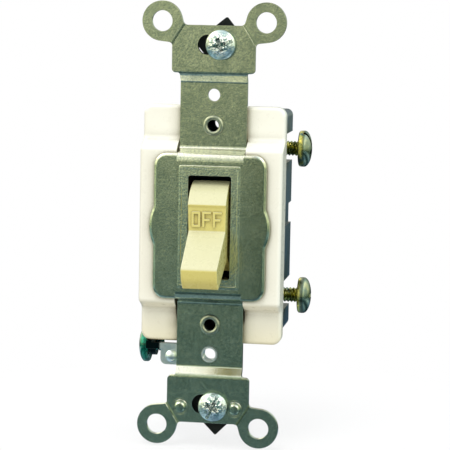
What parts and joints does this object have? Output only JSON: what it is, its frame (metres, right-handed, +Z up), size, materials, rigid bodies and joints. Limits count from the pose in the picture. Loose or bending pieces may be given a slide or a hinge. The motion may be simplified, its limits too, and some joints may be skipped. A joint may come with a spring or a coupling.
{
  "type": "toggle wall switch",
  "caption": "Toggle light switch for a wall box: steel mounting strap, two-part housing, ivory toggle lever, side terminal screws and a ground screw.",
  "frame": {"origin": "middle of the rear base's back face", "axes": "+Y points back into the wall box, the toggle lever points to -Y, +Z runs up along the mounting strap, +X towards the side with the terminal screws"},
  "size_m": [0.04, 0.04, 0.103],
  "materials": {
    "strap_zinc": "zinc-plated steel with an olive tint and a fine grain",
    "bright_zinc": "bright zinc plating",
    "brass": "plain brass with a dull film",
    "silver_contact": "silver alloy contact",
    "green_enamel": "dark green enamel",
    "cover_white": "moulded thermoset, warm off-white",
    "toggle_ivory": "moulded plastic, ivory",
    "base_slate": "moulded phenolic, dark slate",
    "nylon": "natural nylon",
    "fibre": "black vulcanised fibre",
    "spring_steel": "bright spring wire"
  },
  "bodies": {
    "frame": {"mounting_strap": "strap_zinc", "front_cover": "cover_white", "rear_base": "base_slate", "upper_rivet": "bright_zinc", "lower_rivet": "bright_zinc", "common_terminal": "brass", "fixed_contact_terminal": "brass", "fixed_contact": "silver_contact", "ground_bracket": "bright_zinc", "self_grounding_clip": "brass", "ground_clip_rivet_left": "strap_zinc", "ground_clip_rivet_right": "strap_zinc"},
    "lever": {"toggle_lever": "toggle_ivory", "toggle_spring": "spring_steel", "spring_plunger": "nylon"},
    "rocker": {"rocker_cradle": "nylon", "moving_contact_arm": "brass", "moving_contact": "silver_contact"},
    "upper_terminal": {"upper_terminal_screw": "brass"},
    "lower_terminal": {"lower_terminal_screw": "brass"},
    "ground": {"ground_screw": "green_enamel"},
    "upper_retainer": {"upper_screw_retainer": "fibre"},
    "upper_box_screw": {"upper_mounting_screw": "bright_zinc"},
    "lower_retainer": {"lower_screw_retainer": "fibre"},
    "lower_box_screw": {"lower_mounting_screw": "bright_zinc"}
  },
  "joints": [
    {"name": "toggle_hinge", "type": "hinge", "parent": "frame", "child": "lever", "pos_m": [0, -0.021, 0], "axis": [-1, 0, 0], "range_deg": [0, 61.6]},
    {"name": "rocker_hinge", "type": "hinge", "parent": "frame", "child": "rocker", "pos_m": [0, -0.0068, 0], "axis": [-1, 0, 0], "range_deg": [-16, 0]},
    {"name": "upper_terminal_screw_travel", "type": "slide", "parent": "frame", "child": "upper_terminal", "axis": [-1, 0, 0], "range_m": [0, 0.0026]},
    {"name": "lower_terminal_screw_travel", "type": "slide", "parent": "frame", "child": "lower_terminal", "axis": [-1, 0, 0], "range_m": [0, 0.0031]},
    {"name": "ground_screw_travel", "type": "slide", "parent": "frame", "child": "ground", "axis": [1, 0, 0], "range_m": [-0.0015, 0.0003]},
    {"name": "upper_retainer_slide", "type": "slide", "parent": "frame", "child": "upper_retainer", "axis": [1, 0, 0], "range_m": [-0.0035, 0.0001]},
    {"name": "upper_mounting_screw_turn", "type": "hinge", "parent": "upper_retainer", "child": "upper_box_screw", "pos_m": [0.00174, -0.023, 0.04167], "axis": [0, 1, 0], "continuous": true},
    {"name": "lower_retainer_slide", "type": "slide", "parent": "frame", "child": "lower_retainer", "axis": [1, 0, 0], "range_m": [-0.0031, 0.0003]},
    {"name": "lower_mounting_screw_turn", "type": "hinge", "parent": "lower_retainer", "child": "lower_box_screw", "pos_m": [0.00139, -0.023, -0.042], "axis": [0, 1, 0], "continuous": true}
  ],
  "couplings": [
    {"joint": "rocker_hinge", "follows": "toggle_hinge", "ratio": -0.2597}
  ]
}
